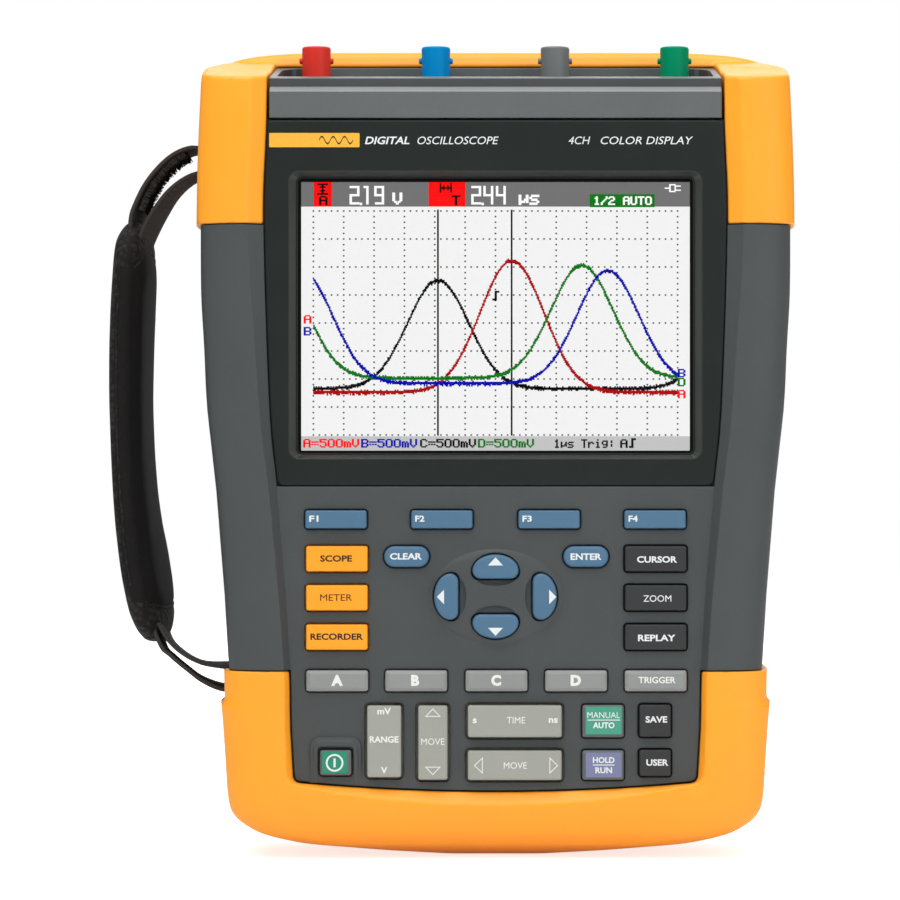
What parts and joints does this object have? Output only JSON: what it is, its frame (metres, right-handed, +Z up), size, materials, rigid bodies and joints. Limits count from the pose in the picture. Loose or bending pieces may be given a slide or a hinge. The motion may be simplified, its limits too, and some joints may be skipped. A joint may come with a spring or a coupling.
{
  "type": "hand-held digital oscilloscope",
  "caption": "Hand-held digital oscilloscope with colour display, keypad, shrouded top inputs, soft two-piece holster, tilt stand and padded side hand strap.",
  "frame": {"origin": "middle of the flat foot under the bottom bumper", "axes": "+Z up the face from the foot to the inputs, +X to the right of someone facing the display, -Y out of the display"},
  "size_m": [0.2238, 0.07, 0.2657],
  "materials": {
    "holster": "soft satin orange-yellow",
    "case": "fine grain, dark grey",
    "bezel": "fine grain, near black",
    "fascia": "fine grain, mid grey",
    "glass": "clear, anti-glare",
    "screen": "lit liquid crystal panel",
    "key_blue": "satin",
    "key_orange": "satin",
    "key_grey": "satin",
    "key_light": "satin",
    "key_dark": "satin",
    "red": "semi gloss",
    "blue": "semi gloss",
    "grey": "semi gloss",
    "green": "semi gloss",
    "metal": "bright nickel plate",
    "board": "solder mask",
    "battery": "wrapped cells",
    "rubber": "matt",
    "webbing": "woven",
    "padding": "neoprene and mesh"
  },
  "bodies": {
    "case": {"top_holster": "holster", "bottom_holster": "holster", "front_case": "case", "rear_case": "case", "display_bezel": "bezel", "display_window": "glass", "lcd_module": "screen", "input_panel": "fascia", "bnc_a": "red", "bnc_b": "blue", "bnc_c": "grey", "bnc_d": "green", "bnc_core_a": "metal", "bnc_core_b": "metal", "bnc_core_c": "metal", "bnc_core_d": "metal", "main_board": "board", "keypad_board": "board", "input_shield": "metal", "battery_pack": "battery", "port_block": "rubber", "strap_webbing": "webbing", "strap_pad": "padding"},
    "battery_door": {"battery_door": "case"},
    "lock_left": {"lock_left": "metal"},
    "lock_right": {"lock_right": "metal"},
    "tilt_stand": {"tilt_stand": "case"},
    "port_cover": {"port_cover": "rubber"},
    "key_f1": {"key_f1": "key_blue"},
    "key_f2": {"key_f2": "key_blue"},
    "key_f3": {"key_f3": "key_blue"},
    "key_f4": {"key_f4": "key_blue"},
    "key_scope": {"key_scope": "key_orange"},
    "key_meter": {"key_meter": "key_orange"},
    "key_recorder": {"key_recorder": "key_orange"},
    "key_cursor": {"key_cursor": "key_dark"},
    "key_zoom": {"key_zoom": "key_dark"},
    "key_replay": {"key_replay": "key_dark"},
    "key_clear": {"key_clear": "key_blue"},
    "key_enter": {"key_enter": "key_blue"},
    "key_arrow_up": {"key_arrow_up": "key_blue"},
    "key_arrow_down": {"key_arrow_down": "key_blue"},
    "key_arrow_left": {"key_arrow_left": "key_blue"},
    "key_arrow_right": {"key_arrow_right": "key_blue"},
    "key_a": {"key_a": "key_grey"},
    "key_b": {"key_b": "key_grey"},
    "key_c": {"key_c": "key_grey"},
    "key_d": {"key_d": "key_grey"},
    "key_trigger": {"key_trigger": "key_grey"},
    "key_auto": {"key_auto": "key_grey"},
    "key_hold": {"key_hold": "key_grey"},
    "key_save": {"key_save": "key_dark"},
    "key_user": {"key_user": "key_dark"},
    "key_power": {"key_power": "key_grey"},
    "rocker_range": {"rocker_range": "key_light"},
    "rocker_move_vertical": {"rocker_move_vertical": "key_light"},
    "rocker_time": {"rocker_time": "key_light"},
    "rocker_move_horizontal": {"rocker_move_horizontal": "key_light"}
  },
  "joints": [
    {"name": "door_battery_slide", "type": "slide", "parent": "case", "child": "battery_door", "axis": [0, 1, 0], "range_m": [0, 0.03]},
    {"name": "hinge_port_cover", "type": "hinge", "parent": "case", "child": "port_cover", "pos_m": [0.09413, 0.009, 0.1525], "axis": [0, 1, 0], "range_deg": [0, 90]},
    {"name": "hinge_tilt_stand", "type": "hinge", "parent": "case", "child": "tilt_stand", "pos_m": [0, 0.0326, 0.182], "axis": [1, 0, 0], "range_deg": [0, 55]},
    {"name": "lock_left_turn", "type": "hinge", "parent": "battery_door", "child": "lock_left", "pos_m": [-0.034, 0.035, 0.0352], "axis": [0, 1, 0], "range_deg": [0, 90]},
    {"name": "lock_right_turn", "type": "hinge", "parent": "battery_door", "child": "lock_right", "pos_m": [0.034, 0.035, 0.0352], "axis": [0, 1, 0], "range_deg": [-90, 0]},
    {"name": "rock_range", "type": "hinge", "parent": "case", "child": "rocker_range", "pos_m": [-0.0359, -0.0282, 0.0385], "axis": [1, 0, 0], "range_deg": [-2.5, 2.5], "stiffness_Nm_per_rad": 0.08},
    {"name": "rock_move_vertical", "type": "hinge", "parent": "case", "child": "rocker_move_vertical", "pos_m": [-0.0202, -0.0282, 0.0381], "axis": [1, 0, 0], "range_deg": [-2.5, 2.5], "stiffness_Nm_per_rad": 0.08},
    {"name": "rock_time", "type": "hinge", "parent": "case", "child": "rocker_time", "pos_m": [0.0062, -0.0282, 0.045], "axis": [0, 0, 1], "range_deg": [-2.5, 2.5], "stiffness_Nm_per_rad": 0.08},
    {"name": "rock_move_horizontal", "type": "hinge", "parent": "case", "child": "rocker_move_horizontal", "pos_m": [0.0062, -0.0282, 0.0308], "axis": [0, 0, 1], "range_deg": [-2.5, 2.5], "stiffness_Nm_per_rad": 0.08},
    {"name": "press_f1", "type": "slide", "parent": "case", "child": "key_f1", "axis": [0, 1, 0], "range_m": [0, 0.001], "stiffness_N_per_m": 900},
    {"name": "press_f2", "type": "slide", "parent": "case", "child": "key_f2", "axis": [0, 1, 0], "range_m": [0, 0.001], "stiffness_N_per_m": 900},
    {"name": "press_f3", "type": "slide", "parent": "case", "child": "key_f3", "axis": [0, 1, 0], "range_m": [0, 0.001], "stiffness_N_per_m": 900},
    {"name": "press_f4", "type": "slide", "parent": "case", "child": "key_f4", "axis": [0, 1, 0], "range_m": [0, 0.001], "stiffness_N_per_m": 900},
    {"name": "press_scope", "type": "slide", "parent": "case", "child": "key_scope", "axis": [0, 1, 0], "range_m": [0, 0.001], "stiffness_N_per_m": 900},
    {"name": "press_meter", "type": "slide", "parent": "case", "child": "key_meter", "axis": [0, 1, 0], "range_m": [0, 0.001], "stiffness_N_per_m": 900},
    {"name": "press_recorder", "type": "slide", "parent": "case", "child": "key_recorder", "axis": [0, 1, 0], "range_m": [0, 0.001], "stiffness_N_per_m": 900},
    {"name": "press_cursor", "type": "slide", "parent": "case", "child": "key_cursor", "axis": [0, 1, 0], "range_m": [0, 0.001], "stiffness_N_per_m": 900},
    {"name": "press_zoom", "type": "slide", "parent": "case", "child": "key_zoom", "axis": [0, 1, 0], "range_m": [0, 0.001], "stiffness_N_per_m": 900},
    {"name": "press_replay", "type": "slide", "parent": "case", "child": "key_replay", "axis": [0, 1, 0], "range_m": [0, 0.001], "stiffness_N_per_m": 900},
    {"name": "press_clear", "type": "slide", "parent": "case", "child": "key_clear", "axis": [0, 1, 0], "range_m": [0, 0.001], "stiffness_N_per_m": 900},
    {"name": "press_enter", "type": "slide", "parent": "case", "child": "key_enter", "axis": [0, 1, 0], "range_m": [0, 0.001], "stiffness_N_per_m": 900},
    {"name": "press_arrow_up", "type": "slide", "parent": "case", "child": "key_arrow_up", "axis": [0, 1, 0], "range_m": [0, 0.001], "stiffness_N_per_m": 900},
    {"name": "press_arrow_down", "type": "slide", "parent": "case", "child": "key_arrow_down", "axis": [0, 1, 0], "range_m": [0, 0.001], "stiffness_N_per_m": 900},
    {"name": "press_arrow_left", "type": "slide", "parent": "case", "child": "key_arrow_left", "axis": [0, 1, 0], "range_m": [0, 0.001], "stiffness_N_per_m": 900},
    {"name": "press_arrow_right", "type": "slide", "parent": "case", "child": "key_arrow_right", "axis": [0, 1, 0], "range_m": [0, 0.001], "stiffness_N_per_m": 900},
    {"name": "press_a", "type": "slide", "parent": "case", "child": "key_a", "axis": [0, 1, 0], "range_m": [0, 0.001], "stiffness_N_per_m": 900},
    {"name": "press_b", "type": "slide", "parent": "case", "child": "key_b", "axis": [0, 1, 0], "range_m": [0, 0.001], "stiffness_N_per_m": 900},
    {"name": "press_c", "type": "slide", "parent": "case", "child": "key_c", "axis": [0, 1, 0], "range_m": [0, 0.001], "stiffness_N_per_m": 900},
    {"name": "press_d", "type": "slide", "parent": "case", "child": "key_d", "axis": [0, 1, 0], "range_m": [0, 0.001], "stiffness_N_per_m": 900},
    {"name": "press_trigger", "type": "slide", "parent": "case", "child": "key_trigger", "axis": [0, 1, 0], "range_m": [0, 0.001], "stiffness_N_per_m": 900},
    {"name": "press_auto", "type": "slide", "parent": "case", "child": "key_auto", "axis": [0, 1, 0], "range_m": [0, 0.001], "stiffness_N_per_m": 900},
    {"name": "press_hold", "type": "slide", "parent": "case", "child": "key_hold", "axis": [0, 1, 0], "range_m": [0, 0.001], "stiffness_N_per_m": 900},
    {"name": "press_save", "type": "slide", "parent": "case", "child": "key_save", "axis": [0, 1, 0], "range_m": [0, 0.001], "stiffness_N_per_m": 900},
    {"name": "press_user", "type": "slide", "parent": "case", "child": "key_user", "axis": [0, 1, 0], "range_m": [0, 0.001], "stiffness_N_per_m": 900},
    {"name": "press_power", "type": "slide", "parent": "case", "child": "key_power", "axis": [0, 1, 0], "range_m": [0, 0.001], "stiffness_N_per_m": 900}
  ]
}
